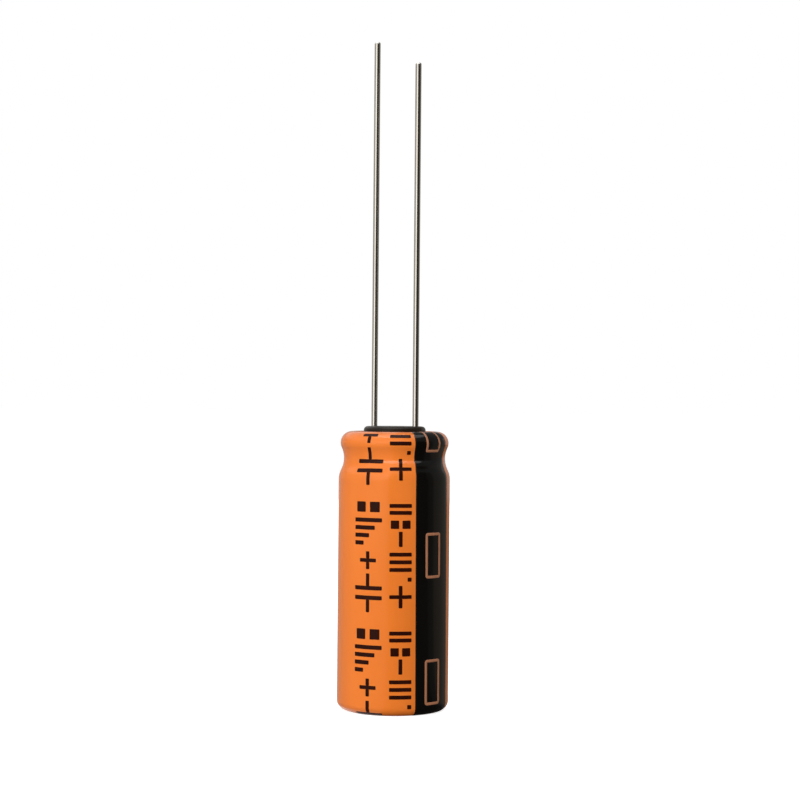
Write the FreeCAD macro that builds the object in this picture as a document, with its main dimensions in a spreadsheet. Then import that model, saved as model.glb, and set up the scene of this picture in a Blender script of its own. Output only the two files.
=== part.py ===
"""Radial hybrid capacitor: a beaded and curled can in a printed sleeve, a rubber seal and two wire leads.

Millimetres. The origin is at the middle of the base that it stands on, +Z runs along the leads,
and the two leads lie on the X axis, the longer positive one at -X.
"""
import FreeCAD, Part
from collections import namedtuple
import math
import os
import Sketcher

SIZES = [
    # the drawn can, its base, and the vent lines pressed into the base; bends are inside radii
    ("can_diameter", 8.0),
    ("can_length", 20.27),
    ("can_wall", 0.28),
    ("base_bend", 0.28),
    ("vent_length", 4.4),
    ("vent_width", 0.22),
    ("vent_depth", 0.12),
    # the bead groove that grips the seal, with the straight flanks on both sides of its round floor
    ("bead_depth", 0.36),
    ("bead_radius", 2.0),
    ("bead_flank", 0.1),
    ("shoulder_bend", 1.3),
    # the rim, curled inwards and down over the seal
    ("rim_draw", 0.12),
    ("rim_bend", 0.46),
    ("curl_land", 0.05),
    ("lip_bend", 0.12),
    ("lip_drop", 0.75),
    # the shrunk sleeve, and the fit that every pressed or shrunk joint has
    ("sleeve_thickness", 0.1),
    ("sleeve_base_ring", 0.55),
    ("sleeve_rim_land", 0.1),
    ("fit_gap", 0.01),
    # the rubber seal and its boss
    ("bung_skirt", 0.35),
    ("bung_edge", 0.15),
    ("boss_stand", 0.38),
    ("boss_moat", 0.4),
    ("boss_edge", 0.3),
    # the two wires
    ("lead_pitch", 3.5),
    ("lead_diameter", 0.45),
    ("positive_lead_length", 28.55),
    ("negative_lead_length", 26.75),
    ("lead_tip", 0.14),
    ("weld_diameter", 0.85),
    ("weld_cover", 0.4),
    # the tabs that the wires are welded to
    ("shank_diameter", 1.2),
    ("shank_cover", 0.6),
    ("shank_stand_out", 0.3),
    ("tab_press_length", 0.8),
    ("paddle_width", 1.8),
    ("paddle_thickness", 0.3),
    ("paddle_reach", 12.0),
    # the roll and its tape
    ("element_clearance", 0.32),
    ("element_headroom", 1.7),
    ("mandrel_bore", 0.9),
    ("tape_thickness", 0.06),
    ("tape_margin", 1.5),
]

# bends of the can's outer surface
CAN_RADIUS = "(Sizes.can_diameter / 2)"
BASE_BEND = "(Sizes.base_bend + Sizes.can_wall)"
SHOULDER_BEND = "(Sizes.shoulder_bend + Sizes.can_wall)"
RIM_BEND = "(Sizes.rim_bend + Sizes.can_wall)"
LIP_BEND = "(Sizes.lip_bend + Sizes.can_wall)"

# two bends joined by a straight flank: their centres are the hypotenuse of the flank and the sum of
# the two radii, and what that leaves beside their step across is their step along the can
LOWER_SUM = f"({SHOULDER_BEND} + Sizes.bead_radius)"
LOWER_RISE = f"sqrt({LOWER_SUM}^2 + Sizes.bead_flank^2 - ({LOWER_SUM} - Sizes.bead_depth)^2)"
UPPER_SUM = f"({RIM_BEND} + Sizes.bead_radius)"
UPPER_STEP = f"({UPPER_SUM} - Sizes.bead_depth + Sizes.rim_draw)"
UPPER_RISE = f"sqrt({UPPER_SUM}^2 + Sizes.bead_flank^2 - {UPPER_STEP}^2)"

# heights above the surface that the part stands on
CAN_BASE = "(Sizes.fit_gap + Sizes.sleeve_thickness)"
CAN_TOP = f"({CAN_BASE} + Sizes.can_length)"
RIM_MIDDLE = f"({CAN_TOP} - {RIM_BEND})"
BEAD_MIDDLE = f"({RIM_MIDDLE} - {UPPER_RISE})"
SHOULDER = f"({BEAD_MIDDLE} - {LOWER_RISE})"
LIP_EDGE = f"({CAN_TOP} - Sizes.lip_drop)"
BUNG_BASE = f"({SHOULDER} - Sizes.bung_skirt)"
BUNG_LEDGE = f"({LIP_EDGE} - Sizes.fit_gap)"
BOSS_TOP = f"({CAN_TOP} + Sizes.fit_gap + Sizes.sleeve_thickness + Sizes.boss_stand)"
WELD_TOP = f"({BOSS_TOP} - Sizes.weld_cover)"
SHANK_TOP = f"({BUNG_LEDGE} - Sizes.shank_cover)"
SHANK_BASE = f"({BUNG_BASE} - Sizes.shank_stand_out)"
PADDLE_TOP = f"({SHANK_BASE} - Sizes.tab_press_length)"
ELEMENT_TOP = f"({BUNG_BASE} - Sizes.element_headroom)"
ELEMENT_BASE = f"({CAN_BASE} + Sizes.can_wall)"

# distances from the axis
RIM_CENTRE = f"({CAN_RADIUS} - Sizes.rim_draw - {RIM_BEND})"
LIP_CENTRE = f"({RIM_CENTRE} - Sizes.curl_land)"
LIP_RADIUS = f"({LIP_CENTRE} - {LIP_BEND})"
BOSS_RADIUS = f"({LIP_RADIUS} - Sizes.boss_moat)"
ELEMENT_RADIUS = f"({CAN_RADIUS} - Sizes.can_wall - Sizes.element_clearance)"
WELD_TAPER = "atan((Sizes.weld_diameter - Sizes.lead_diameter) / (2 * Sizes.weld_cover))"
BOTH_LEADS = ("-Sizes.lead_pitch / 2", "Sizes.lead_pitch / 2")

AXIS = "0"
LEFT, RIGHT = 1, -1

Corner = namedtuple("Corner", "across up")
Bend = namedtuple("Bend", "across up radius turn")


doc = FreeCAD.newDocument("hybrid_capacitor")
sheet = doc.addObject("Spreadsheet::Sheet", "Sizes")
for row, (alias, value) in enumerate(SIZES, start=1):
    sheet.set(f"A{row}", alias)
    sheet.set(f"B{row}", str(value))
    sheet.setAlias(f"B{row}", alias)
doc.recompute()


def new_body(label):
    """Start a body whose label is the node's name."""
    body = doc.addObject("PartDesign::Body", label)
    body.Label = label
    return body


def new_sketch(body, name, plane, height=None):
    """Start a sketch on one of the body's origin planes, lifted to a height if one is given."""
    sketch = body.newObject("Sketcher::SketchObject", name)
    support = next(f for f in body.Origin.OriginFeatures if f.Role == plane)
    sketch.AttachmentSupport = (support, [""])
    sketch.MapMode = "FlatFace"
    if height:
        sketch.setExpression("AttachmentOffset.Base.z", height)
    return sketch


def bind(sketch, constraint, name, expression):
    """Add a dimension to a sketch and tie it to an expression on the sizes."""
    index = sketch.addConstraint(constraint)
    sketch.renameConstraint(index, name)
    sketch.setExpression(f"Constraints.{name}", expression)


def place_point(sketch, geometry, end, name, item):
    """Fix a point of a sketch at a corner's or bend's own place, or on the upright axis."""
    if item.across == AXIS:
        sketch.addConstraint(Sketcher.Constraint("PointOnObject", geometry, end, -2))
    else:
        reach = sheet.evalExpression(item.across)
        bind(sketch, Sketcher.Constraint("DistanceX", -1, 1, geometry, end, reach), f"{name}_x", item.across)
    rise = sheet.evalExpression(item.up)
    bind(sketch, Sketcher.Constraint("DistanceY", -1, 1, geometry, end, rise), f"{name}_y", item.up)


def measured(item):
    """Centre of a corner or bend and its radius, which is negative where the outline turns right."""
    centre = FreeCAD.Vector(sheet.evalExpression(item.across), sheet.evalExpression(item.up), 0)
    radius = sheet.evalExpression(item.radius) * item.turn if isinstance(item, Bend) else 0
    return centre, radius


def tangent_run(item, following):
    """Ends of the straight run that leaves one corner or bend and touches the next."""
    (centre, radius), (next_centre, next_radius) = measured(item), measured(following)
    step = next_centre - centre
    heading = math.atan2(step.y, step.x) - math.asin((next_radius - radius) / step.Length)
    left = FreeCAD.Vector(-math.sin(heading), math.cos(heading), 0)
    return centre - left * radius, next_centre - left * next_radius


def backwards(path):
    """The same corners and bends walked the other way."""
    return [i._replace(turn=-i.turn) if isinstance(i, Bend) else i for i in reversed(path)]


def turned_section(body, name, path):
    """Closed section in the XZ plane: corners, and bends joined by runs that touch them."""
    sketch = new_sketch(body, name, "XZ_Plane")
    ends = [tangent_run(item, path[(i + 1) % len(path)]) for i, item in enumerate(path)]
    runs = [sketch.addGeometry(Part.LineSegment(*pair), False) for pair in ends]
    for i, item in enumerate(path):
        run_in, run_out = runs[i - 1], runs[i]
        if isinstance(item, Corner):
            sketch.addConstraint(Sketcher.Constraint("Coincident", run_in, 2, run_out, 1))
            place_point(sketch, run_out, 1, f"corner_{i}", item)
            continue
        centre, radius = measured(item)
        touching = [ends[i - 1][1], ends[i][0]][::item.turn]
        angles = [math.atan2(p.y - centre.y, p.x - centre.x) for p in touching]
        circle = Part.Circle(centre, FreeCAD.Vector(0, 0, 1), abs(radius))
        bow = sketch.addGeometry(Part.ArcOfCircle(circle, *angles), False)
        entry, leave = (1, 2)[::item.turn]
        place_point(sketch, bow, 3, f"centre_{i}", item)
        bind(sketch, Sketcher.Constraint("Radius", bow, abs(radius)), f"bend_{i}", item.radius)
        sketch.addConstraint(Sketcher.Constraint("Tangent", run_in, 2, bow, entry))
        sketch.addConstraint(Sketcher.Constraint("Tangent", bow, leave, run_out, 1))
    return sketch


def turn(body, name, path):
    """Turn a closed section about the body's own upright axis."""
    revolution = body.newObject("PartDesign::Revolution", name)
    revolution.Profile = turned_section(body, f"{name}_section", path)
    revolution.ReferenceAxis = (revolution.Profile[0], ["V_Axis"])
    revolution.Angle = 360
    return revolution


def circles(body, name, height, diameter, across=(AXIS,)):
    """Sketch of equal circles on the X axis at a height."""
    sketch = new_sketch(body, name, "XY_Plane", height)
    for i, place in enumerate(across):
        centre = FreeCAD.Vector(sheet.evalExpression(place), 0, 0)
        radius = sheet.evalExpression(diameter) / 2
        ring = sketch.addGeometry(Part.Circle(centre, FreeCAD.Vector(0, 0, 1), radius), False)
        sketch.addConstraint(Sketcher.Constraint("PointOnObject", ring, 3, -1))
        if place == AXIS:
            sketch.addConstraint(Sketcher.Constraint("PointOnObject", ring, 3, -2))
        else:
            bind(sketch, Sketcher.Constraint("DistanceX", -1, 1, ring, 3, centre.x), f"place_{i}", place)
        bind(sketch, Sketcher.Constraint("Diameter", ring, 2 * radius), f"bore_{i}", diameter)
    return sketch


def rectangles(body, name, height, spans, across=(AXIS,)):
    """Sketch of rectangles of (X span, Y span) centred on the X axis at a height."""
    sketch = new_sketch(body, name, "XY_Plane", height)
    for i, place in enumerate(across):
        middle = sheet.evalExpression(place)
        half_x, half_y = (sheet.evalExpression(span) / 2 for span in spans)
        spots = [
            FreeCAD.Vector(middle + sx * half_x, sy * half_y, 0)
            for sx, sy in ((1, -1), (1, 1), (-1, 1), (-1, -1))
        ]
        sides = [
            sketch.addGeometry(Part.LineSegment(spots[k], spots[(k + 1) % 4]), False) for k in range(4)
        ]
        for k in range(4):
            sketch.addConstraint(Sketcher.Constraint("Coincident", sides[k], 2, sides[(k + 1) % 4], 1))
        right, top, left, bottom = sides
        for side, way in ((top, "Horizontal"), (left, "Vertical"), (bottom, "Horizontal")):
            sketch.addConstraint(Sketcher.Constraint(way, side))
        place_edge = f"({place}) + ({spans[0]}) / 2"
        bind(
            sketch,
            Sketcher.Constraint("DistanceX", -1, 1, right, 1, middle + half_x),
            f"place_{i}",
            place_edge,
        )
        bind(sketch, Sketcher.Constraint("DistanceX", top, 2, top, 1, 2 * half_x), f"span_{i}", spans[0])
        bind(sketch, Sketcher.Constraint("DistanceY", right, 1, right, 2, 2 * half_y), f"width_{i}", spans[1])
        sketch.addConstraint(Sketcher.Constraint("Symmetric", right, 1, right, 2, -1))
    return sketch


def pad(body, name, sketch, length):
    """Raise a sketch upwards by a length."""
    feature = body.newObject("PartDesign::Pad", name)
    feature.Profile = sketch
    feature.setExpression("Length", length)
    return feature


def cut_upwards(body, name, sketch, depth):
    """Cut a sketch upwards into the body by a depth."""
    feature = body.newObject("PartDesign::Pocket", name)
    feature.Profile = sketch
    feature.Reversed = True
    feature.setExpression("Length", depth)
    return feature


def cut_widening_downwards(body, name, sketch, depth, taper):
    """Cut a sketch downwards into the body by a depth, widening by an angle on the way."""
    feature = body.newObject("PartDesign::Pocket", name)
    feature.Profile = sketch
    feature.setExpression("Length", depth)
    feature.setExpression("TaperAngle", taper)
    return feature


def can_path(inset):
    """Bends of the can's surface from base to lip, moved into the sheet by an expression.

    A bend keeps its centre. Its radius shrinks by the move where the sheet turns towards the axis
    and grows by it round the groove's floor, whose centre is outside the can.
    """
    return [
        Bend(f"{CAN_RADIUS} - {BASE_BEND}", f"{CAN_BASE} + {BASE_BEND}", f"{BASE_BEND} - ({inset})", LEFT),
        Bend(f"{CAN_RADIUS} - {SHOULDER_BEND}", SHOULDER, f"{SHOULDER_BEND} - ({inset})", LEFT),
        Bend(
            f"{CAN_RADIUS} - Sizes.bead_depth + Sizes.bead_radius",
            BEAD_MIDDLE,
            f"Sizes.bead_radius + ({inset})",
            RIGHT,
        ),
        Bend(RIM_CENTRE, RIM_MIDDLE, f"{RIM_BEND} - ({inset})", LEFT),
        Bend(LIP_CENTRE, f"{CAN_TOP} - {LIP_BEND}", f"{LIP_BEND} - ({inset})", LEFT),
    ]


def build_can():
    """Drawn can of even wall: flat base, bead groove, and a rim curled inwards and down over the seal."""
    body = new_body("aluminium_can")
    section = [Corner(AXIS, CAN_BASE)]
    section += can_path("0")
    section += [Corner(LIP_RADIUS, LIP_EDGE), Corner(f"{LIP_RADIUS} + Sizes.can_wall", LIP_EDGE)]
    section += backwards(can_path("Sizes.can_wall"))
    section += [Corner(AXIS, ELEMENT_BASE)]
    turn(body, "drawn_can", section)
    for name, spans in (
        ("vent_line_x", ("Sizes.vent_length", "Sizes.vent_width")),
        ("vent_line_y", ("Sizes.vent_width", "Sizes.vent_length")),
    ):
        line = rectangles(body, f"{name}_outline", CAN_BASE, spans)
        cut_upwards(body, name, line, "Sizes.vent_depth")
    return body


def build_sleeve():
    """Film shrunk over the can, folded in under the base and ending on top of the curl."""
    body = new_body("printed_sleeve")
    inner = "-Sizes.fit_gap"
    outer = f"-{CAN_BASE}"
    base_edge = f"{CAN_RADIUS} - {BASE_BEND} - Sizes.sleeve_base_ring"
    rim_edge = f"{RIM_CENTRE} - Sizes.sleeve_rim_land"
    section = [Corner(base_edge, f"{CAN_BASE} + ({outer})")]
    section += can_path(outer)[:-1]
    section += [Corner(rim_edge, f"{CAN_TOP} - ({outer})"), Corner(rim_edge, f"{CAN_TOP} - ({inner})")]
    section += backwards(can_path(inner)[:-1])
    section += [Corner(base_edge, f"{CAN_BASE} + ({inner})")]
    turn(body, "shrunk_film", section)
    return body


def build_bung():
    """Rubber seal squeezed by the bead and the curl, with a boss and two bores that narrow to the wires."""
    body = new_body("rubber_bung")
    squeeze = "(Sizes.can_wall + Sizes.fit_gap)"
    edge = "Sizes.bung_edge"
    section = [
        Corner(AXIS, BUNG_BASE),
        Bend(f"{CAN_RADIUS} - {squeeze} - {edge}", f"{BUNG_BASE} + {edge}", edge, LEFT),
    ]
    section += can_path(squeeze)[1:]
    section += [
        Corner(f"{LIP_RADIUS} + {squeeze}", BUNG_LEDGE),
        Corner(BOSS_RADIUS, BUNG_LEDGE),
        Bend(f"{BOSS_RADIUS} - Sizes.boss_edge", f"{BOSS_TOP} - Sizes.boss_edge", "Sizes.boss_edge", LEFT),
        Corner(AXIS, BOSS_TOP),
    ]
    turn(body, "moulded_seal", section)
    shank_bore = "Sizes.shank_diameter + 2 * Sizes.fit_gap"
    weld_bore = "Sizes.weld_diameter + 2 * Sizes.fit_gap"
    wire_bore = "Sizes.lead_diameter + 2 * Sizes.fit_gap"
    shank_rings = circles(body, "shank_bores_outline", BUNG_BASE, shank_bore, BOTH_LEADS)
    cut_upwards(body, "shank_bores", shank_rings, f"{SHANK_TOP} - {BUNG_BASE} + Sizes.fit_gap")
    weld_rings = circles(body, "weld_bores_outline", BUNG_BASE, weld_bore, BOTH_LEADS)
    cut_upwards(body, "weld_bores", weld_rings, f"{WELD_TOP} - {BUNG_BASE}")
    wire_rings = circles(body, "wire_bores_outline", BOSS_TOP, wire_bore, BOTH_LEADS)
    cut_widening_downwards(body, "wire_bores", wire_rings, "Sizes.weld_cover", WELD_TAPER)
    return body


def build_lead(label, side, length):
    """Wire butt-welded to its tab's shank: it swells to the weld inside the seal and is plain outside it."""
    body = new_body(label)
    wire = "Sizes.lead_diameter / 2"
    weld = "Sizes.weld_diameter / 2"
    tip = f"({BOSS_TOP} + {length})"
    section = [
        Corner(AXIS, SHANK_TOP),
        Corner(weld, SHANK_TOP),
        Corner(weld, WELD_TOP),
        Corner(wire, BOSS_TOP),
        Bend(f"{wire} - Sizes.lead_tip", f"{tip} - Sizes.lead_tip", "Sizes.lead_tip", LEFT),
        Corner(AXIS, tip),
    ]
    turn(body, "drawn_wire", section)
    body.setExpression("Placement.Base.x", f"{side} * Sizes.lead_pitch / 2")
    return body


def shank_round(body, name):
    """Circle of the shank in four arcs, so that each arc meets one side of the paddle."""
    sketch = new_sketch(body, name, "XY_Plane", SHANK_BASE)
    radius = sheet.evalExpression("Sizes.shank_diameter / 2")
    circle = Part.Circle(FreeCAD.Vector(), FreeCAD.Vector(0, 0, 1), radius)
    arcs = [
        sketch.addGeometry(
            Part.ArcOfCircle(circle, math.radians(90 * k - 45), math.radians(90 * k + 45)), False
        )
        for k in range(4)
    ]
    for k, arc in enumerate(arcs):
        sketch.addConstraint(Sketcher.Constraint("Coincident", arc, 2, arcs[(k + 1) % 4], 1))
    for arc in arcs[:3]:
        sketch.addConstraint(Sketcher.Constraint("Coincident", arc, 3, -1, 1))
    sketch.addConstraint(Sketcher.Constraint("Equal", arcs[0], arcs[3]))
    for k, way in enumerate(("Vertical", "Horizontal", "Vertical")):
        sketch.addConstraint(Sketcher.Constraint(way, arcs[k], 1, arcs[k], 2))
    bind(sketch, Sketcher.Constraint("Radius", arcs[0], radius), "shank", "Sizes.shank_diameter / 2")
    square = "Sizes.shank_diameter / sqrt(2)"
    chord = sheet.evalExpression(square)
    bind(sketch, Sketcher.Constraint("DistanceY", arcs[0], 1, arcs[0], 2, chord), "chord", square)
    return sketch


def build_tab(label, side):
    """Aluminium tab: a round shank in the seal, pressed flat to a paddle that goes into the roll."""
    body = new_body(label)
    blade_foot = f"({ELEMENT_TOP} - Sizes.paddle_reach)"
    spans = ("Sizes.paddle_thickness", "Sizes.paddle_width")
    round_end = shank_round(body, "shank_outline")
    pad(body, "shank", round_end, f"{SHANK_TOP} - {SHANK_BASE}")
    flat_end = rectangles(body, "press_outline", PADDLE_TOP, spans)
    press = body.newObject("PartDesign::AdditiveLoft", "pressed_neck")
    press.Profile = round_end
    press.Sections = [flat_end]
    press.Ruled = True
    foot = rectangles(body, "paddle_outline", blade_foot, spans)
    pad(body, "paddle", foot, f"{PADDLE_TOP} - {blade_foot}")
    body.setExpression("Placement.Base.x", f"{side} * Sizes.lead_pitch / 2")
    return body


def build_element():
    """Roll of electrodes and separator on a mandrel bore, with a slot for each tab's paddle."""
    body = new_body("wound_element")
    height = f"{ELEMENT_TOP} - {ELEMENT_BASE}"
    pad(body, "roll", circles(body, "roll_outline", ELEMENT_BASE, f"2 * {ELEMENT_RADIUS}"), height)
    bore = circles(body, "mandrel_outline", ELEMENT_BASE, "Sizes.mandrel_bore")
    cut_upwards(body, "mandrel_hole", bore, height)
    slot_base = f"{ELEMENT_TOP} - Sizes.paddle_reach - Sizes.fit_gap"
    spans = ("Sizes.paddle_thickness + 2 * Sizes.fit_gap", "Sizes.paddle_width + 2 * Sizes.fit_gap")
    slots = rectangles(body, "slot_outlines", slot_base, spans, BOTH_LEADS)
    cut_upwards(body, "tab_slots", slots, "Sizes.paddle_reach + Sizes.fit_gap")
    return body


def build_tape():
    """Film wrapped once round the roll, short of its ends."""
    body = new_body("winding_tape")
    inner = f"({ELEMENT_RADIUS} + Sizes.fit_gap)"
    outer = f"({inner} + Sizes.tape_thickness)"
    foot = f"({ELEMENT_BASE} + Sizes.tape_margin)"
    head = f"({ELEMENT_TOP} - Sizes.tape_margin)"
    turn(body, "wrap", [Corner(inner, foot), Corner(outer, foot), Corner(outer, head), Corner(inner, head)])
    return body


def check(pieces):
    """Stop if any object of the document failed or any piece has no valid single solid."""
    failed = [o.Name for o in doc.Objects if {"Invalid", "Error"} & set(o.State)]
    failed += [p.Label for p in pieces if p.Shape.isNull() or not p.Shape.isValid()]
    failed += [p.Label for p in pieces if len(p.Shape.Solids) != 1]
    if failed:
        raise RuntimeError(f"these did not build: {failed}")


def main():
    """Build every piece, check them and write one file for each."""
    pieces = [
        build_can(),
        build_sleeve(),
        build_bung(),
        build_lead("positive_lead", -1, "Sizes.positive_lead_length"),
        build_lead("negative_lead", 1, "Sizes.negative_lead_length"),
        build_tab("positive_tab", -1),
        build_tab("negative_tab", 1),
        build_element(),
        build_tape(),
    ]
    doc.recompute()
    check(pieces)
    os.makedirs("parts", exist_ok=True)
    for piece in pieces:
        piece.Shape.exportStep(os.path.join("parts", f"{piece.Label}.step"))


main()
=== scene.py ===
"""Radial hybrid capacitor on its closed end: a printed film sleeve, a rubber seal and two tinned wires.

Sizes are in millimetres and become metres where a mesh or a lamp is made. Angles round the can are
polar, in degrees from +X, where the negative wire stands.
"""
import logging
import math
from dataclasses import dataclass
from enum import Enum
from typing import Any

import bpy
import numpy as np
from mathutils import Euler, Matrix, Vector


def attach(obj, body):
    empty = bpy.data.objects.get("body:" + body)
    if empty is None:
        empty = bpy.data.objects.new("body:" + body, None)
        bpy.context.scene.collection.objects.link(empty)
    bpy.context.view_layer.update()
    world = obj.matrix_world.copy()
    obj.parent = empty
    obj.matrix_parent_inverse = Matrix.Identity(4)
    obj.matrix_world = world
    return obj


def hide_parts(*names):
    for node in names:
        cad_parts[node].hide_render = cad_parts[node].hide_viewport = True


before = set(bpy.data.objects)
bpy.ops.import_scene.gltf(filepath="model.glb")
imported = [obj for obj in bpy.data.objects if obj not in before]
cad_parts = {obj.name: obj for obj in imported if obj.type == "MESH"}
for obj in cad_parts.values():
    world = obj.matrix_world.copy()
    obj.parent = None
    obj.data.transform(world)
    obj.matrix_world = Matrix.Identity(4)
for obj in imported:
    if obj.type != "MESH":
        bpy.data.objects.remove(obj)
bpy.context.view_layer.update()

MM = 0.001
BODY = "root"
# Polar angle of the side that a camera at an azimuth of 0 stands on.
FRONT = -90.0
# Decimals of a distance along a line, so that rows that fall together become one.
DECIMALS = 4
# Middle part of the noise's range, which is spread from 0 to 1.
NOISE_MIDDLE = (0.3, 0.7)
# Sockets of a Mix node for colours, by number because several share a name.
MIX_SHARE, MIX_FIRST, MIX_SECOND, MIX_RESULT = 0, 6, 7, 2
# Distance up the film after which the print repeats.
PRINT_PITCH = 9.17

Array = np.ndarray
Faces = list[list[int]]
Colour = tuple[float, float, float]
Section = tuple[tuple[float, float], ...]
Socket = bpy.types.NodeSocket
log = logging.getLogger("capacitor")


class Slot(str, Enum):
    """Finishes of the record for the film and the wires; no piece here is given one."""

    FILM = "sleeve_film"
    WIRE = "lead_wire"


@dataclass(frozen=True)
class Bend:
    """Round corner of a section. A negative radius turns right, and a radius of 0 is a sharp corner."""

    across: float
    up: float
    radius: float = 0.0


@dataclass(frozen=True)
class Outline:
    """Line in the half plane beside the axis, made of bends and of straight runs that touch them."""

    bends: tuple[Bend, ...]
    bend_steps: int = 20

    def trace(self) -> tuple[Array, Array]:
        """Points along the line and the line's heading at each.

        Two bends with centres c and d and signed radii r and s are joined by a run whose heading is
        the direction from c to d, turned back by the arc sine of (s - r) over their distance. A
        point with heading h on a bend is c - r n, where n is the left-hand normal of h.

        Returns:
            Points as (across, up) rows, and headings in radians.
        """
        table = np.array([(b.across, b.up, b.radius) for b in self.bends])
        centre, radius = table[:, :2], table[:, 2]
        step = np.diff(centre, axis=0)
        heading = np.arctan2(step[:, 1], step[:, 0])
        heading = np.unwrap(heading - np.arcsin(np.diff(radius) / np.hypot(*step.T)))
        arriving = np.concatenate((heading[:1], heading))
        leaving = np.concatenate((heading, heading[-1:]))
        share = np.linspace(0, 1, self.bend_steps)
        turning = arriving[:, None] + (leaving - arriving)[:, None] * share
        normal = np.stack((-np.sin(turning), np.cos(turning)), axis=-1)
        points = centre[:, None] - radius[:, None, None] * normal
        return points.reshape(-1, 2), turning.ravel()

    def lengths(self) -> Array:
        """Distance along the line of every traced point."""
        points, _ = self.trace()
        return np.concatenate(([0.0], np.cumsum(np.hypot(*np.diff(points, axis=0).T))))

    def length(self) -> float:
        """Length of the whole line."""
        return float(self.lengths()[-1])

    def at(self, distance: Array) -> tuple[Array, Array]:
        """Points and outward normals at distances along the line.

        Args:
            distance: distances from the line's start.

        Returns:
            Points and unit normals, both as (across, up) in the last axis.
        """
        points, heading = self.trace()
        along = self.lengths()
        place = np.stack([np.interp(distance, along, points[:, k]) for k in (0, 1)], axis=-1)
        outward = np.stack((np.sin(heading), -np.cos(heading)), axis=-1)
        normal = np.stack([np.interp(distance, along, outward[:, k]) for k in (0, 1)], axis=-1)
        return place, normal / np.linalg.norm(normal, axis=-1, keepdims=True)

    def rows(self, start: float, end: float, step: float, extra: Array) -> Array:
        """Distances for the rows of a mesh: the traced points, even steps and some extra rows.

        Args:
            start: first distance.
            end: last distance.
            step: distance between rows on straight runs.
            extra: distances of the extra rows, which may be none.

        Returns:
            Distances in rising order.
        """
        runs = np.linspace(start, end, int((end - start) / step))
        every = np.concatenate((self.lengths(), extra, runs))
        return np.unique(np.round(np.clip(every, start, end), DECIMALS))


def turned(section: Array, angle: Array) -> Array:
    """Carry section points round the axis: x = across cos a, y = across sin a, z = up.

    Args:
        section: (across, up) in the last axis.
        angle: polar angles in degrees, of a shape that the section's other axes allow.

    Returns:
        Points with x, y and z in the last axis.
    """
    a = np.radians(angle)
    across, up = section[..., 0], section[..., 1]
    return np.stack(np.broadcast_arrays(across * np.cos(a), across * np.sin(a), up), axis=-1)


def grid_faces(
    rows: int, columns: int, close_rows: bool = False, close_columns: bool = False
) -> Array:
    """Quads of a grid of points, with their outer side where columns cross rows.

    Args:
        rows: count of points along the first axis.
        columns: count of points along the second axis.
        close_rows: join the last row to the first.
        close_columns: join the last column to the first.

    Returns:
        Corner numbers, one row to a face.
    """
    row = np.arange(rows if close_rows else rows - 1)[:, None]
    column = np.arange(columns if close_columns else columns - 1)[None, :]
    here, above = row * columns, (row + 1) % rows * columns
    beside = (column + 1) % columns
    corners = (here + column, here + beside, above + beside, above + column)
    return np.stack(np.broadcast_arrays(*corners), axis=-1).reshape(-1, 4)


def repeated(faces: Array, count: int, size: int) -> Array:
    """Faces of like grids of points that follow one another.

    Args:
        faces: corner numbers of the first grid's faces.
        count: number of grids.
        size: count of points in a grid.

    Returns:
        Corner numbers, one row to a face.
    """
    return (np.arange(count)[:, None, None] * size + faces).reshape(-1, faces.shape[1])


def used_only(points: Array, faces: Array) -> tuple[Array, Faces]:
    """Leave out the points that no face uses.

    Args:
        points: corners, one row each.
        faces: corner numbers, one row to a face.

    Returns:
        The used points, and the faces as lists with the new numbers.
    """
    used, numbers = np.unique(faces, return_inverse=True)
    return points[used], numbers.reshape(faces.shape).tolist()


def turned_faces(rows: int, columns: int) -> Faces:
    """Faces of a solid of revolution with closed poles.

    The points are the rings from bottom to top, then the bottom pole and the top pole.

    Args:
        rows: count of rings.
        columns: count of points in a ring.

    Returns:
        Quads between the rings and a fan of triangles at each pole.
    """
    here = np.arange(columns)
    beside = (here + 1) % columns
    bottom, top = rows * columns, rows * columns + 1
    last = (rows - 1) * columns
    lower = np.stack((beside, here, np.full(columns, bottom)), axis=-1)
    upper = np.stack((last + here, last + beside, np.full(columns, top)), axis=-1)
    quads = grid_faces(rows, columns, close_columns=True)
    return quads.tolist() + lower.tolist() + upper.tolist()


def new_mesh(name: str, points: Array, faces: Faces) -> bpy.types.Mesh:
    """Make a mesh.

    Args:
        name: name of the mesh.
        points: corners in millimetres, one row each.
        faces: lists of corner numbers.

    Returns:
        The new mesh, in metres.
    """
    mesh = bpy.data.meshes.new(name)
    mesh.from_pydata((points * MM).tolist(), [], faces)
    return mesh


def new_object(name: str, data: bpy.types.ID) -> bpy.types.Object:
    """Put a mesh, a lamp or a camera into the scene.

    Args:
        name: name of the object.
        data: what it shows.

    Returns:
        The new object, at the origin.
    """
    thing = bpy.data.objects.new(name, data)
    bpy.context.scene.collection.objects.link(thing)
    return thing


def new_piece(
    name: str, points: Array, faces: Faces, crease: float = 35.0
) -> bpy.types.Object:
    """Make a piece that rides on the part.

    Args:
        name: name of the piece.
        points: corners in millimetres, one row each.
        faces: lists of corner numbers.
        crease: angle in degrees past which an edge is shaded sharp.

    Returns:
        The new object, at the origin.
    """
    mesh = new_mesh(name, points, faces)
    mesh.validate()
    mesh.polygons.foreach_set("use_smooth", np.ones(len(mesh.polygons), dtype=bool))
    mesh.set_sharp_from_angle(angle=math.radians(crease))
    piece = new_object(name, mesh)
    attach(piece, BODY)
    return piece


def thicken(piece: bpy.types.Object, thickness: float) -> None:
    """Give an open patch a thickness below its surface.

    Args:
        piece: the patch.
        thickness: thickness in millimetres.
    """
    wall = piece.modifiers.new("thickness", "SOLIDIFY")
    wall.thickness = thickness * MM
    wall.offset = -1.0


def dress(piece: bpy.types.Object, material: bpy.types.Material) -> None:
    """Give a piece one material all over."""
    piece.data.materials.clear()
    piece.data.materials.append(material)


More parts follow.
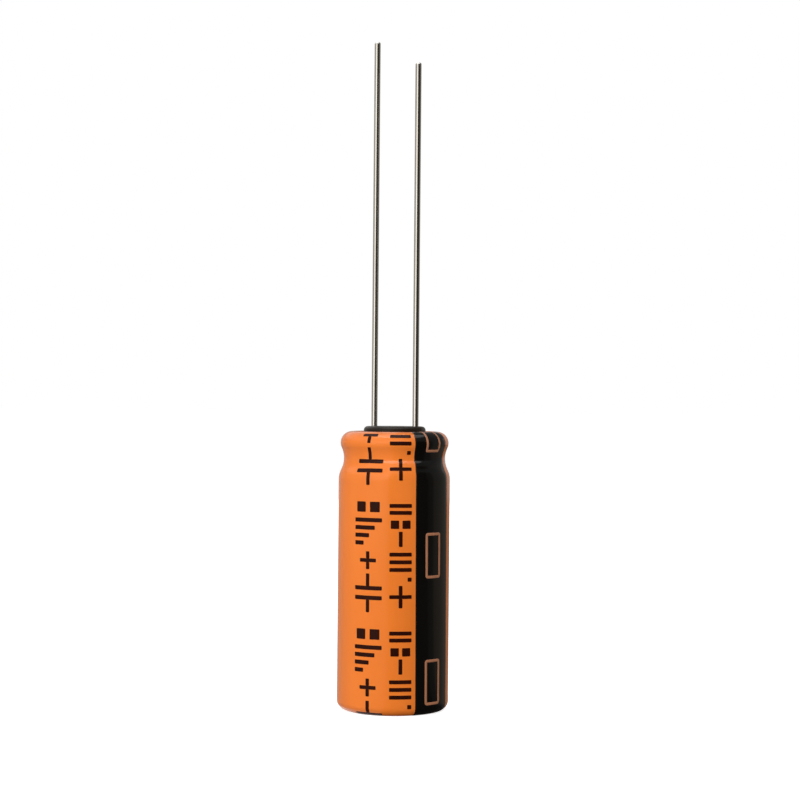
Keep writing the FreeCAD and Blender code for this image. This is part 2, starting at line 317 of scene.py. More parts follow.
class Graph:
    """Node tree that is filled by short calls."""

    def __init__(self, tree: bpy.types.NodeTree) -> None:
        """Take a tree, emptied."""
        self.tree = tree
        tree.nodes.clear()

    def add(self, kind: str, inputs: dict[str | int, Any], **settings: Any) -> bpy.types.Node:
        """Add a node.

        Args:
            kind: type name of the node.
            inputs: socket names or numbers, each with a constant or with a socket to link from.
            **settings: properties of the node.

        Returns:
            The new node.
        """
        node = self.tree.nodes.new(kind)
        for key, value in settings.items():
            setattr(node, key, value)
        for key, value in inputs.items():
            if isinstance(value, Socket):
                self.tree.links.new(value, node.inputs[key])
            else:
                node.inputs[key].default_value = value
        return node

    def effect(self, group: bpy.types.NodeTree, across: float, along: float) -> Socket:
        """Place a shared effect.

        Args:
            group: the effect.
            across: its scale across the can.
            along: its scale along the can.

        Returns:
            The value that it puts out.
        """
        node = self.add("ShaderNodeGroup", {"Across": across, "Along": along}, node_tree=group)
        return node.outputs["Value"]

    def spread(
        self, value: Socket, low: float, high: float, start: float = 0.0, end: float = 1.0
    ) -> Socket:
        """Carry a value from one range to another and hold it at both ends.

        Args:
            value: the value.
            low: what it becomes at the start of its range.
            high: what it becomes at the end of its range.
            start: start of its range.
            end: end of its range.

        Returns:
            The value in the new range.
        """
        sockets = {"Value": value, "From Min": start, "From Max": end, "To Min": low, "To Max": high}
        return self.add("ShaderNodeMapRange", sockets).outputs[0]

    def larger(self, first: Socket, second: Socket) -> Socket:
        """The larger of two values."""
        return self.add("ShaderNodeMath", {0: first, 1: second}, operation="MAXIMUM").outputs[0]


def new_material(name: str) -> tuple[bpy.types.Material, Graph]:
    """Make a material.

    Args:
        name: name of the material.

    Returns:
        The material, and a graph to fill it with.
    """
    material = bpy.data.materials.new(name)
    material.use_nodes = True
    return material, Graph(material.node_tree)


def drift_effect(name: str, octaves: float) -> bpy.types.NodeTree:
    """Shared effect whose value drifts between 0 and 1 over the surface.

    Noise is read at the object's own coordinates, times Across in x and y and Along in z, and the
    middle part of its range is spread from 0 to 1.

    Args:
        name: name of the effect.
        octaves: detail of the noise.

    Returns:
        The group.
    """
    group = bpy.data.node_groups.new(name, "ShaderNodeTree")
    for key in ("Across", "Along"):
        group.interface.new_socket(name=key, in_out="INPUT", socket_type="NodeSocketFloat")
    group.interface.new_socket(name="Value", in_out="OUTPUT", socket_type="NodeSocketFloat")
    graph = Graph(group)
    scales = graph.add("NodeGroupInput", {}).outputs
    scale = graph.add(
        "ShaderNodeCombineXYZ", {"X": scales["Across"], "Y": scales["Across"], "Z": scales["Along"]}
    )
    place = graph.add("ShaderNodeTexCoord", {}).outputs["Object"]
    spot = graph.add("ShaderNodeVectorMath", {0: place, 1: scale.outputs[0]}, operation="MULTIPLY")
    noise = graph.add(
        "ShaderNodeTexNoise", {"Vector": spot.outputs[0], "Scale": 1.0, "Detail": octaves}
    )
    graph.add("NodeGroupOutput", {0: graph.spread(noise.outputs[0], 0.0, 1.0, *NOISE_MIDDLE)})
    return group


@dataclass(frozen=True)
class Effects:
    """Effects that the materials share."""

    drift: bpy.types.NodeTree
    grain: bpy.types.NodeTree

    @staticmethod
    def build() -> "Effects":
        """Build the slow drift and the fine grain."""
        return Effects(drift_effect("slow_drift", octaves=2.0), drift_effect("fine_grain", octaves=4.0))


@dataclass(frozen=True)
class Finish:
    """Surface whose colour and gloss drift, with a fine grain that may be drawn out along the can.

    The colour drifts to the shade, and the grain moves the roughness between its two ends. Colours
    are linear. Scales are counts per metre, across and along the can. The grain's height is in
    millimetres.
    """

    name: str
    colour: Colour
    shade: Colour
    roughness: tuple[float, float]
    metallic: float = 0.0
    specular: float = 0.5
    coat: float = 0.0
    coat_roughness: float = 0.2
    drift_scale: tuple[float, float] = (400.0, 400.0)
    grain_scale: tuple[float, float] = (12000.0, 12000.0)
    grain_height: float = 0.002
    grain_strength: float = 0.15

    def build(self, effects: Effects) -> bpy.types.Material:
        """Make the material.

        Args:
            effects: shared effects.

        Returns:
            The material.
        """
        material, graph = new_material(self.name)
        tone = graph.effect(effects.drift, *self.drift_scale)
        grain = graph.effect(effects.grain, *self.grain_scale)
        colour = graph.add(
            "ShaderNodeMix",
            {MIX_SHARE: tone, MIX_FIRST: (*self.colour, 1.0), MIX_SECOND: (*self.shade, 1.0)},
            data_type="RGBA",
        )
        relief = graph.add(
            "ShaderNodeBump",
            {"Height": grain, "Strength": self.grain_strength, "Distance": self.grain_height * MM},
        )
        surface = graph.add(
            "ShaderNodeBsdfPrincipled",
            {
                "Base Color": colour.outputs[MIX_RESULT],
                "Roughness": graph.spread(grain, *self.roughness),
                "Normal": relief.outputs[0],
                "Metallic": self.metallic,
                "Specular IOR Level": self.specular,
                "Coat Weight": self.coat,
                "Coat Roughness": self.coat_roughness,
            },
        )
        graph.add("ShaderNodeOutputMaterial", {"Surface": surface.outputs[0]})
        return material


FILM = Finish(
    "orange_film", colour=(0.84, 0.208, 0.0285), shade=(0.78, 0.188, 0.0230), roughness=(0.12, 0.16),
    specular=0.32, drift_scale=(300.0, 90.0), grain_scale=(9000.0, 1500.0), grain_strength=0.04,
)
STRIPE_INK = Finish(
    "black_ink", colour=(0.0028, 0.0024, 0.0021), shade=(0.0042, 0.0037, 0.0033), roughness=(0.12, 0.16),
    specular=0.32, drift_scale=(500.0, 200.0), grain_scale=(9000.0, 1500.0), grain_strength=0.04,
)
MARK_INK = Finish(
    "brown_black_ink", colour=(0.019, 0.0030, 0.0008), shade=(0.026, 0.0048, 0.0014),
    roughness=(0.30, 0.38), specular=0.10,
    drift_scale=(500.0, 200.0), grain_scale=(9000.0, 1500.0), grain_strength=0.06,
)
LINE_INK = Finish(
    "dull_orange_ink", colour=(0.47, 0.198, 0.102), shade=(0.40, 0.168, 0.086), roughness=(0.22, 0.30),
    specular=0.25, drift_scale=(500.0, 200.0), grain_scale=(9000.0, 1500.0), grain_strength=0.06,
)
RUBBER = Finish(
    "moulded_rubber", colour=(0.0130, 0.0078, 0.0042), shade=(0.0190, 0.0120, 0.0070),
    roughness=(0.24, 0.38), specular=0.16,
    grain_scale=(9000.0, 9000.0), grain_height=0.008, grain_strength=0.2,
)
WIRE = Finish(
    "tinned_wire", colour=(0.74, 0.71, 0.66), shade=(0.66, 0.63, 0.58), roughness=(0.10, 0.15),
    metallic=1.0, drift_scale=(2500.0, 120.0), grain_scale=(22000.0, 300.0), grain_strength=0.04,
)
ALUMINIUM = Finish(
    "drawn_aluminium", colour=(0.80, 0.80, 0.79), shade=(0.70, 0.70, 0.69), roughness=(0.26, 0.40),
    metallic=1.0, drift_scale=(600.0, 600.0), grain_scale=(14000.0, 900.0), grain_height=0.004,
    grain_strength=0.3,
)
PRESSED = Finish(
    "pressed_aluminium", colour=(0.70, 0.70, 0.69), shade=(0.58, 0.58, 0.57), roughness=(0.34, 0.50),
    metallic=1.0, grain_scale=(9000.0, 2500.0), grain_height=0.006, grain_strength=0.3,
)
ROLL = Finish(
    "carbon_roll", colour=(0.030, 0.028, 0.026), shade=(0.075, 0.068, 0.060), roughness=(0.60, 0.80),
    grain_scale=(16000.0, 300.0), grain_height=0.02, grain_strength=0.5,
)
TAPE = Finish(
    "amber_tape", colour=(0.52, 0.33, 0.08), shade=(0.44, 0.26, 0.06), roughness=(0.22, 0.34),
    coat=0.3, grain_scale=(5000.0, 1500.0), grain_height=0.004,
)


@dataclass(frozen=True)
class Skin:
    """Outer face of the shrunk film, which the film, the stripe and the print all lie on.

    The line starts at the edge folded under the base and ends at the edge on top of the curl. The
    base is flat as far as the flat radius. Flutes are faint waves round the neck, and the fold is
    a ridge below the waist, on one side. Angles and the fold's reach are in degrees. Rows are closer
    together by the fold, from its top down, over fold_row_drops times its drop.
    """

    flat_radius: float = 3.44
    outline: Outline = Outline((
        Bend(2.89, 0.0),
        Bend(flat_radius, 0.67, 0.67),
        Bend(2.42, 16.9463, 1.69),
        Bend(5.64, 18.5141, -1.89),
        Bend(3.14, 19.64, 0.85),
        Bend(3.04, 20.49),
    ))
    wall_radius: float = 4.11
    flute_height: float = 0.016
    flute_middle: float = 18.25
    flute_reach: float = 0.75
    flute_counts: tuple[int, ...] = (3, 5, 8, 11, 14)
    flute_shares: tuple[float, ...] = (0.35, 0.55, 1.0, 0.8, 0.5)
    flute_starts: tuple[float, ...] = (40.0, 205.0, 12.0, 290.0, 121.0)
    fold_height: float = 0.16
    fold_top: float = 18.45
    fold_drop: float = 0.42
    fold_power: float = 1.5
    fold_angle: float = -49.0
    fold_reach: float = 40.0
    fold_step: float = 0.03
    fold_row_drops: float = 3.0

    def along(self, height: float) -> float:
        """Distance along the line of a height on the wall, the neck or the outside of the curl.

        Args:
            height: height above the floor.

        Returns:
            The distance.
        """
        points, _ = self.outline.trace()
        outside = points[:, 0] > self.flat_radius
        return float(np.interp(height, points[outside, 1], self.outline.lengths()[outside]))

    def flutes(self, angle: Array, height: Array) -> Array:
        """Swelling of the film over the neck, where it could not shrink evenly.

        It is a sum of cosines round the can, times a bell curve of the height above the neck.

        Args:
            angle: polar angles in degrees.
            height: heights, of a shape that goes with the angles.

        Returns:
            Swelling outwards in millimetres.
        """
        count, share = np.array(self.flute_counts), np.array(self.flute_shares)
        start = np.array(self.flute_starts)
        wave = np.sum(share * np.cos(np.radians(angle[..., None] * count + start)), axis=-1)
        bell = np.exp(-(((height - self.flute_middle) / self.flute_reach) ** 2))
        return self.flute_height * wave * bell

    def fold(self, angle: Array, height: Array) -> Array:
        """Swelling of the film where it gathered in a fold below the waist, on one side of the can.

        Down from the fold it is (u e^(1 - u))^p, where u is the way down over the drop, and round the
        can it fades by e to the minus fourth power of the turn over the reach.

        Args:
            angle: polar angles in degrees.
            height: heights, of a shape that goes with the angles.

        Returns:
            Swelling outwards in millimetres.
        """
        turn = (angle - self.fold_angle + 180.0) % 360.0 - 180.0
        down = np.maximum(self.fold_top - height, 0.0) / self.fold_drop
        swell = (down * np.exp(1.0 - down)) ** self.fold_power
        return self.fold_height * swell * np.exp(-((turn / self.fold_reach) ** 4))

    def rows(self, start: float, end: float, step: float) -> Array:
        """Distances along the line for the rows of a mesh, closer together at bends and over the fold.

        Args:
            start: first distance.
            end: last distance.
            step: distance between rows on straight runs.

        Returns:
            Distances in rising order.
        """
        fold_end = self.along(self.fold_top)
        fold_start = fold_end - self.fold_row_drops * self.fold_drop
        return self.outline.rows(start, end, step, np.arange(fold_start, fold_end, self.fold_step))

    def points(self, angle: Array, distance: Array, lift: float = 0.0) -> Array:
        """Points of the face at polar angles and distances along the line.

        Args:
            angle: polar angles in degrees.
            distance: distances along the line, of a shape that goes with the angles.
            lift: height above the face.

        Returns:
            Points with x, y and z in the last axis.
        """
        angle, distance = np.broadcast_arrays(angle, distance)
        place, normal = self.outline.at(distance)
        rise = lift + self.flutes(angle, place[..., 1]) + self.fold(angle, place[..., 1])
        return turned(place + normal * rise[..., None], angle)


@dataclass(frozen=True)
class Column:
    """Column of plain marks that repeats up the sleeve. A bar is (x, y, width, height)."""

    angle: float
    first: float
    bars: tuple[tuple[float, float, float, float], ...]
    pitch: float = PRINT_PITCH
    repeats: tuple[int, ...] = (-1, 0, 1)
    corner: float = 0.05
    grid: tuple[int, int] = (25, 19)

    def placed(self, skin: Skin) -> Array:
        """Bars of every repeat, with y measured along the film's outline.

        Args:
            skin: face that they are printed on.

        Returns:
            Bars, one row each.
        """
        shift = np.zeros((len(self.repeats), 1, 4))
        shift[:, 0, 1] = skin.along(self.first) + np.array(self.repeats) * self.pitch
        return (np.array(self.bars) + shift).reshape(-1, 4)


SYMBOL_COLUMN = Column(
    angle=-87.0,
    first=7.5,
    bars=(
        (0.0, 0.45, 0.27, 0.9), (0.0, 1.05, 2.19, 0.3), (0.0, 1.75, 2.19, 0.3), (0.0, 2.35, 0.27, 0.9),
        (0.0, 3.75, 1.3, 0.27), (0.0, 3.36, 0.27, 0.51), (0.0, 4.14, 0.27, 0.51),
        (-0.72, 5.0, 0.75, 0.3), (-0.495, 5.55, 1.2, 0.3), (-0.27, 6.1, 1.65, 0.3),
        (0.0, 6.65, 2.19, 0.3),
        (-0.55, 7.6, 0.75, 0.75), (0.55, 7.6, 0.75, 0.75),
    ),
)
LEVEL_COLUMN = Column(
    angle=-52.85,
    first=7.85,
    bars=(
        (0.0, 0.8, 1.63, 0.27), (0.0, 0.33, 0.27, 0.67), (0.0, 1.27, 0.27, 0.67),
        (0.66, 2.05, 0.3, 0.3),
        (0.0, 2.75, 1.63, 0.28), (0.0, 3.3, 1.63, 0.28), (0.0, 3.85, 1.63, 0.28),
        (0.0, 4.95, 0.27, 1.1),
        (-0.42, 6.0, 0.6, 0.6), (0.42, 6.0, 0.6, 0.6),
        (0.0, 6.85, 1.63, 0.28), (0.0, 7.35, 1.63, 0.28),
    ),
)

# Round an outlined box: a corner's side across and along, and the outward direction in degrees there.
BOX_STATIONS = np.array((
    (1, 1, 0), (1, 1, 90),
    (-1, 1, 90), (-1, 1, 180),
    (-1, -1, 180), (-1, -1, 270),
    (1, -1, 270), (1, -1, 360),
    (1, 1, 360),
))


@dataclass
class Sleeve:
    """Film with its cut edges, the black stripe on the negative side, its boxes, and the printed columns.

    The ink ends are how far the print stays from the two edges of the film. The print's skew is in
    degrees per millimetre, and box_turns are the degrees by which each box, from the lowest up, is
    turned further.
    """

    skin: Skin = Skin()
    thickness: float = 0.1
    segments: int = 288
    run_step: float = 0.8
    ink_step: float = 0.1
    ink_lift: float = 0.012
    ink_thickness: float = 0.009
    ink_ends: tuple[float, float] = (0.72, 0.04)
    mark_margin: float = 0.45
    print_skew: float = -0.08
    print_middle: float = 10.0
    stripe: tuple[float, float] = (-37.2, 9.6)
    stripe_columns: int = 40
    box_angles: tuple[float, float] = (-26.4, -5.5)
    box_turns: tuple[float, ...] = (0.0, 0.5, 2.6)
    box_line: float = 0.205
    box_line_columns: int = 4
    box_corner: float = 0.22
    box_steps: int = 40
    box_height: float = 3.3
    box_first: float = 0.75
    box_pitch: float = PRINT_PITCH
    box_lift: float = 0.024

    def build_film(self) -> bpy.types.Object:
        """Closed film: the outer face, both cut edges, and an inner face one thickness inside.

        Returns:
            The film, which stands for the solid sleeve.
        """
        distance = self.skin.rows(0.0, self.skin.outline.length(), self.run_step)
        angle = np.linspace(0, 360, self.segments, endpoint=False)
        outer = self.skin.points(angle[None, :], distance[:, None])
        place, normal = self.skin.outline.at(distance[::-1])
        inner = turned((place - normal * self.thickness)[:, None], angle[None, :])
        points = np.concatenate((outer, inner))
        faces = grid_faces(len(points), self.segments, close_rows=True, close_columns=True)
        film = new_piece("sleeve_film", points.reshape(-1, 3), faces.tolist())
        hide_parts("printed_sleeve")
        return film

    def ink_span(self) -> tuple[float, float]:
        """Distances along the film's outline between which it is printed."""
        return self.ink_ends[0], self.skin.outline.length() - self.ink_ends[1]

    def ink_points(self, angle: Array, distance: Array, lift: float) -> Array:
        """Points of the print, which sits on the film turned a little more the higher it is.

        Args:
            angle: polar angles in degrees, as they are halfway up.
            distance: distances along the film's outline, of a shape that goes with the angles.
            lift: height above the film.

        Returns:
            Points with x, y and z in the last axis, just off the film.
        """
        turn = self.print_skew * (distance - self.print_middle)
        return self.skin.points(angle + turn, distance, lift)

    def build_ink(self, name: str, points: Array, faces: Faces) -> bpy.types.Object:
        """Layer of ink with its thickness.

        Args:
            name: name of the piece.
            points: corners of its outer face.
            faces: lists of corner numbers.

        Returns:
            The layer.
        """
        ink = new_piece(name, points, faces)
        thicken(ink, self.ink_thickness)
        return ink

    def build_stripe(self) -> bpy.types.Object:
        """Stripe of ink from end to end of the printed span.

        Returns:
            The stripe.
        """
        across = np.linspace(*self.stripe, self.stripe_columns)
        along = self.skin.rows(*self.ink_span(), self.ink_step)
        points = self.ink_points(across[None, :], along[:, None], self.ink_lift)
        faces = grid_faces(len(along), len(across))
        return self.build_ink("negative_stripe", points.reshape(-1, 3), faces.tolist())

    def box_ring(self) -> tuple[Array, Array]:
        """Points across and along one outlined box, from its middle.

        The line is the path of a corner's middle round the box, plus w times the outward direction,
        where w runs from the inside of the line to the outside.

        Returns:
            Two arrays shaped (steps round the box, steps over the line).
        """
        left, right = np.radians(self.box_angles) * self.skin.wall_radius
        half_width = (right - left) / 2 - self.box_corner
        half_height = self.box_height / 2 - self.box_corner
        side_across, side_along, outward = BOX_STATIONS.T
        stations = np.arange(len(BOX_STATIONS))
        legs = len(BOX_STATIONS) - 1
        step = np.linspace(0, legs, legs * self.box_steps, endpoint=False)
        across = np.interp(step, stations, half_width * side_across)[:, None]
        along = np.interp(step, stations, half_height * side_along)[:, None]
        turn = np.interp(step, stations, np.radians(outward))[:, None]
        inside = self.box_corner - self.box_line
        over = np.linspace(inside, self.box_corner, self.box_line_columns)[None, :]
        return across + over * np.cos(turn), along + over * np.sin(turn)

    def build_boxes(self) -> bpy.types.Object:
        """Outlined boxes printed over the stripe, cut off where the print ends.

        Returns:
            The boxes, in one layer.
        """
        across, along = self.box_ring()
        turns = np.array(self.box_turns)[:, None, None]
        bottoms = self.skin.along(self.box_first) + np.arange(len(self.box_turns)) * self.box_pitch
        angle = sum(self.box_angles) / 2 + turns + np.degrees(across / self.skin.wall_radius)
        distance = bottoms[:, None, None] + self.box_height / 2 + along
        end = self.ink_span()[1]
        points = self.ink_points(angle, np.minimum(distance, end), self.box_lift)
        faces = repeated(grid_faces(*across.shape, close_rows=True), len(bottoms), across.size)
        printed = np.any(distance.ravel()[faces] < end, axis=1)
        return self.build_ink("stripe_boxes", *used_only(points.reshape(-1, 3), faces[printed]))

    def bar_patches(self, column: Column) -> Array:
        """Patches of one column's bars, on a grid of two parameters from -1 to 1.

        Across a bar x = sin(90 a) w / 2, which crowds the grid at the ends, and y = b times the half
        height h / 2 - r + sqrt(r^2 - e^2), where e is how far |x| is past w / 2 - r.

        Args:
            column: place and bars of the column.

        Returns:
            Points shaped (bars, rows, columns, 3).
        """
        bars = column.placed(self.skin)
        start, end = self.ink_span()
        bottom, top = bars[:, 1] - bars[:, 3] / 2, bars[:, 1] + bars[:, 3] / 2
        keep = (bottom > start) & (top < end - self.mark_margin)
        x0, y0, width, height = (v[:, None, None] for v in bars[keep].T)
        rows, columns = column.grid
        a = np.sin(np.linspace(-np.pi / 2, np.pi / 2, columns))[None, None, :]
        b = np.linspace(-1, 1, rows)[None, :, None]
        x = a * width / 2
        past = np.maximum(np.abs(x) - (width / 2 - column.corner), 0.0)
        half = height / 2 - column.corner + np.sqrt(np.maximum(column.corner**2 - past**2, 0.0))
        angle = column.angle + np.degrees((x0 + x) / self.skin.wall_radius)
        return self.ink_points(angle, y0 + b * half, self.ink_lift)

    def build_print(self, columns: tuple[Column, ...]) -> bpy.types.Object:
        """All printed columns in one layer of ink.

        Args:
            columns: the columns, on grids of one size.

        Returns:
            The layer.
        """
        patches = np.concatenate([self.bar_patches(c) for c in columns])
        count, rows, width, _ = patches.shape
        faces = repeated(grid_faces(rows, width), count, rows * width)
        return self.build_ink("printed_marks", patches.reshape(-1, 3), faces.tolist())


@dataclass(frozen=True)
class Wire:
    """Tinned wire that swells to its weld inside the seal, with a rounded tip."""

    node: str
    across: float
    tip: float
    radius: float = 0.225
    tip_round: float = 0.14
    weld_radius: float = 0.425
    weld_base: float = 19.02
    weld_top: float = 20.47
    seal_top: float = 20.87
    segments: int = 48
    run_step: float = 0.5
    crease: float = 20.0

    def build(self) -> bpy.types.Object:
        """Turn the wire's outline about its own axis and stand it at its place on X.

        Returns:
            The wire, which stands for the solid lead.
        """
        outline = Outline((
            Bend(0.0, self.weld_base),
            Bend(self.weld_radius, self.weld_base),
            Bend(self.weld_radius, self.weld_top),
            Bend(self.radius, self.seal_top),
            Bend(self.radius - self.tip_round, self.tip - self.tip_round, self.tip_round),
            Bend(0.0, self.tip),
        ))
        distance = outline.rows(0.0, outline.length(), self.run_step, np.empty(0))
        section, _ = outline.at(distance)
        angle = np.linspace(0, 360, self.segments, endpoint=False)
        rings = turned(section[1:-1, None], angle[None, :]).reshape(-1, 3)
        poles = np.array([(0.0, 0.0, self.weld_base), (0.0, 0.0, self.tip)])
        points = np.concatenate((rings, poles)) + np.array((self.across, 0.0, 0.0))
        faces = turned_faces(len(section) - 2, self.segments)
        wire = new_piece(f"{self.node}_wire", points, faces, self.crease)
        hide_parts(self.node)
        return wire


WIRES = (
    Wire("positive_lead", across=-1.75, tip=49.42),
    Wire("negative_lead", across=1.75, tip=47.62),
)

# Sections of cards that lie on the floor, stand round the part, or do both in a bow. Those called
# clear start outside the part's foot, and the others under it.
LYING: Section = ((3.6, 0.05), (300.0, 0.05))
LYING_CLEAR: Section = ((4.2, 0.05), (300.0, 0.05))
STANDING: Section = ((300.0, 0.05), (300.0, 121.0))
BOWED: Section = (LYING[0], *STANDING)
BOWED_CLEAR: Section = (LYING_CLEAR[0], *STANDING)


@dataclass(frozen=True)
class Lamp:
    """Soft rectangular lamp. Its bearing is an angle to the right of the camera, seen from the axis."""

    name: str
    turn: float
    distance: float
    height: float
    size: tuple[float, float]
    power: float
    aim: float = 20.0


@dataclass(frozen=True)
class Card:
    """Card that shows in reflections: a section of (distance, height) points between two bearings."""

    name: str
    turns: tuple[float, float]
    tone: Colour
    section: Section = BOWED
    steps: int = 24


@dataclass
class Studio:
    """Camera at the photograph's angle, world, pale floor, cards and lamps. The clip is in metres."""

    azimuth: float = 29.7
    distance: float = 142.0
    height: float = 22.81
    aside: float = 0.37
    roll: float = 0.5
    lens: float = 86.4
    sensor: float = 36.0
    clip: tuple[float, float] = (0.005, 20.0)
    room_light: float = 0.3
    floor_size: float = 6000.0
    floor_drop: float = 0.01
    floor_grey: float = 0.8
    floor_bounce: float = 0.3
    floor_glow: float = 0.77
    cards: tuple[Card, ...] = (
        Card("dark_card", (-12.0, 74.0), (0.040, 0.036, 0.030)),
        Card("middle_card", (74.0, 88.0), (0.11, 0.105, 0.095)),
        Card("right_card", (88.0, 132.0), (0.24, 0.23, 0.21), STANDING),
        Card("right_floor_card", (88.0, 176.0), (0.26, 0.215, 0.17), LYING),
        Card("back_card", (132.0, 226.0), (0.50, 0.49, 0.47), STANDING),
        Card("back_floor_card", (176.0, 226.0), (0.42, 0.41, 0.39), LYING),
        Card("left_card", (-134.0, -54.0), (0.42, 0.41, 0.39), BOWED_CLEAR),
        Card("key_card", (-54.0, -12.0), (1.42, 1.39, 1.33), ((300.0, 0.05), (300.0, 150.0))),
        Card("key_floor_card", (-54.0, -12.0), (0.45, 0.44, 0.42), LYING_CLEAR),
        Card("overhead_card", (-180.0, 180.0), (2.4, 2.4, 2.4), ((120.0, 415.0), (0.0, 415.0))),
        Card("window_card", (-110.0, 50.0), (5.2, 5.2, 5.2), ((230.0, 415.0), (120.0, 415.0))),
        Card("window_glow_card", (-40.0, 46.0), (0.8, 0.8, 0.8), ((300.0, 160.0), (300.0, 270.0))),
        Card("side_window_card", (50.0, 130.0), (1.7, 1.7, 1.7), ((295.0, 415.0), (120.0, 415.0))),
        Card("upper_card", (-12.0, 179.0), (0.20, 0.20, 0.20),
             ((302.0, 121.0), (302.0, 420.0), (100.0, 420.0))),
    )
    lamps: tuple[Lamp, ...] = (
        Lamp("key_lamp", -45.0, 150.0, 45.0, (130.0, 220.0), 0.118),
        Lamp("left_lamp", -75.0, 220.0, 60.0, (160.0, 160.0), 0.17),
        Lamp("front_lamp", 0.0, 310.0, 165.0, (240.0, 160.0), 0.73),
        Lamp("back_lamp", 165.0, 250.0, 110.0, (200.0, 200.0), 0.22),
    )

    def bearing(self, turn: float, distance: float, height: float) -> tuple[float, float, float]:
        """Place seen from the axis at an angle to the right of the camera, in metres."""
        a = math.radians(self.azimuth + turn)
        return (math.sin(a) * distance * MM, -math.cos(a) * distance * MM, height * MM)

    def build_camera(self) -> None:
        """Level camera that looks at the axis from its bearing, moved aside and rolled a little."""
        lens = bpy.data.cameras.new("camera")
        lens.lens = self.lens
        lens.sensor_width = self.sensor
        lens.clip_start, lens.clip_end = self.clip
        camera = new_object("camera", lens)
        a = math.radians(self.azimuth)
        turn = Euler((math.pi / 2, 0.0, a)).to_matrix().to_4x4()
        place = Matrix.Translation(self.bearing(0.0, self.distance, self.height))
        aside = Matrix.Translation((math.cos(a) * self.aside * MM, math.sin(a) * self.aside * MM, 0.0))
        camera.matrix_world = aside @ place @ turn @ Matrix.Rotation(math.radians(self.roll), 4, "Z")
        bpy.context.scene.camera = camera

    def seen(self, graph: Graph) -> Socket:
        """Mask of 1 for what the camera sees, directly, mirrored or through glass.

        Args:
            graph: graph of the material or world that uses the mask.

        Returns:
            The mask.
        """
        path = graph.add("ShaderNodeLightPath", {}).outputs
        mirrored = graph.larger(path["Is Glossy Ray"], path["Is Transmission Ray"])
        return graph.larger(path["Is Camera Ray"], mirrored)

    def build_world(self) -> None:
        """White backdrop to the camera and in reflections, and a softer light from all round."""
        world = bpy.data.worlds.new("white_room")
        bpy.context.scene.world = world
        world.use_nodes = True
        graph = Graph(world.node_tree)
        strength = graph.spread(self.seen(graph), self.room_light, 1.0)
        light = graph.add("ShaderNodeBackground", {"Color": (1.0, 1.0, 1.0, 1.0), "Strength": strength})
        graph.add("ShaderNodeOutputWorld", {"Surface": light.outputs[0]})

    def build_floor(self) -> None:
        """Pale floor just under the base, white to the camera but for the shadow, clear from below."""
        material, graph = new_material("pale_floor")
        seen = self.seen(graph)
        grey = graph.spread(seen, self.floor_bounce, self.floor_grey)
        matt = graph.add("ShaderNodeBsdfDiffuse", {"Color": grey})
        glow = graph.add("ShaderNodeEmission", {"Strength": graph.spread(seen, 0.0, self.floor_glow)})
        both = graph.add("ShaderNodeAddShader", {0: matt.outputs[0], 1: glow.outputs[0]})
        below = graph.add("ShaderNodeNewGeometry", {}).outputs["Backfacing"]
        clear = graph.add("ShaderNodeBsdfTransparent", {})
        sided = graph.add("ShaderNodeMixShader", {0: below, 1: both.outputs[0], 2: clear.outputs[0]})
        graph.add("ShaderNodeOutputMaterial", {"Surface": sided.outputs[0]})
        corners = np.array([(-1, -1), (1, -1), (1, 1), (-1, 1)]) * self.floor_size / 2
        points = np.column_stack((corners, np.full(len(corners), -self.floor_drop)))
        floor = new_object("floor", new_mesh("floor", points, [[0, 1, 2, 3]]))
        dress(floor, material)

    def build_cards(self) -> None:
        """Cards on the floor, round the part and overhead, which show only in reflections.

        A card is its section, carried round the axis from one bearing to the other.
        """
        for card in self.cards:
            material, graph = new_material(card.name)
            glow = graph.add("ShaderNodeEmission", {"Color": (*card.tone, 1.0), "Strength": 1.0})
            graph.add("ShaderNodeOutputMaterial", {"Surface": glow.outputs[0]})
            angle = FRONT + self.azimuth + np.linspace(*card.turns, card.steps)
            points = turned(np.array(card.section)[:, None], angle[None, :]).reshape(-1, 3)
            faces = grid_faces(len(card.section), card.steps)
            piece = new_object(card.name, new_mesh(card.name, points, faces.tolist()))
            piece.visible_camera = False
            piece.visible_diffuse = False
            piece.visible_shadow = False
            dress(piece, material)

    def build_lamps(self) -> None:
        """Soft lamps, each facing the part's middle. In reflections the cards stand for them."""
        for lamp in self.lamps:
            light = bpy.data.lights.new(lamp.name, "AREA")
            light.shape = "RECTANGLE"
            light.size, light.size_y = lamp.size[0] * MM, lamp.size[1] * MM
            light.energy = lamp.power
            piece = new_object(lamp.name, light)
            piece.visible_glossy = False
            piece.location = self.bearing(lamp.turn, lamp.distance, lamp.height)
            aim = Vector((0.0, 0.0, lamp.aim * MM)) - piece.location
            piece.rotation_euler = aim.to_track_quat("-Z", "Y").to_euler()


def dress_nodes(effects: Effects) -> None:
    """Give the solids that stay as they are their own finishes.

    Args:
        effects: shared effects.
    """
    finishes = {
        "aluminium_can": ALUMINIUM,
        "rubber_bung": RUBBER,
        "positive_tab": PRESSED,
        "negative_tab": PRESSED,
        "wound_element": ROLL,
        "winding_tape": TAPE,
    }
    made = {finish.name: finish.build(effects) for finish in finishes.values()}
    for node, finish in finishes.items():
        dress(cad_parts[node], made[finish.name])
        log.info("%s: %s", node, finish.name)


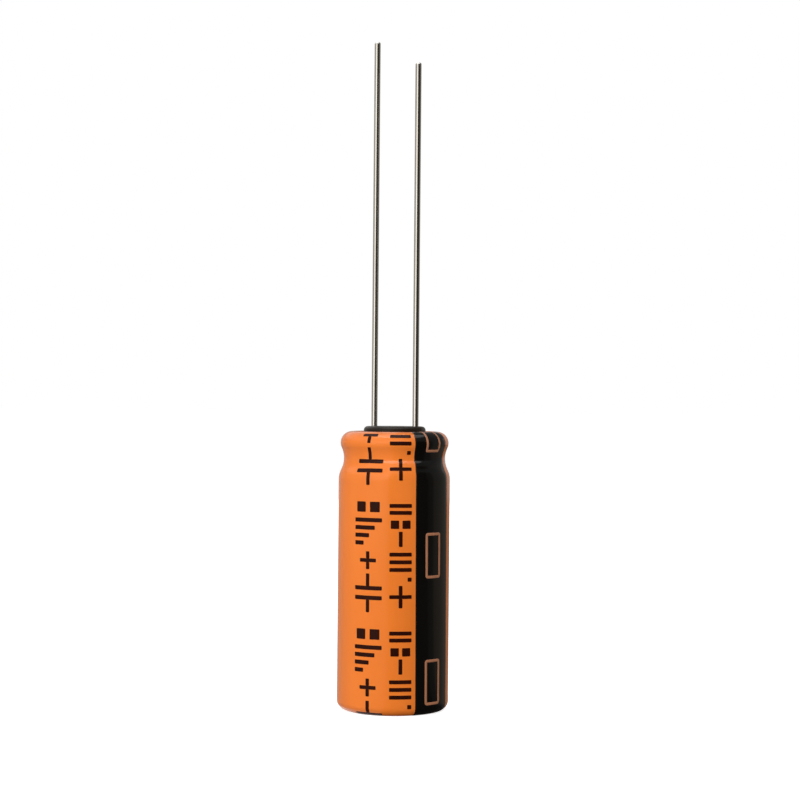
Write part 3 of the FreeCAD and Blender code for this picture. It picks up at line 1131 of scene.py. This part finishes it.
def main() -> None:
    """Build every piece in order and report it."""
    logging.basicConfig(level=logging.INFO, format="%(name)s: %(message)s")
    bpy.context.scene.view_settings.view_transform = "Standard"
    effects = Effects.build()
    studio = Studio()
    studio.build_camera()
    studio.build_world()
    studio.build_floor()
    studio.build_cards()
    studio.build_lamps()
    sleeve = Sleeve()
    tin = WIRE.build(effects)
    dressed = (
        (sleeve.build_stripe(), STRIPE_INK.build(effects)),
        (sleeve.build_boxes(), LINE_INK.build(effects)),
        (sleeve.build_film(), FILM.build(effects)),
        (sleeve.build_print((SYMBOL_COLUMN, LEVEL_COLUMN)), MARK_INK.build(effects)),
        *((wire.build(), tin) for wire in WIRES),
    )
    for piece, material in dressed:
        dress(piece, material)
        log.info("%s: %s, %d faces", piece.name, material.name, len(piece.data.polygons))
    dress_nodes(effects)


if __name__ == "__main__":
    main()
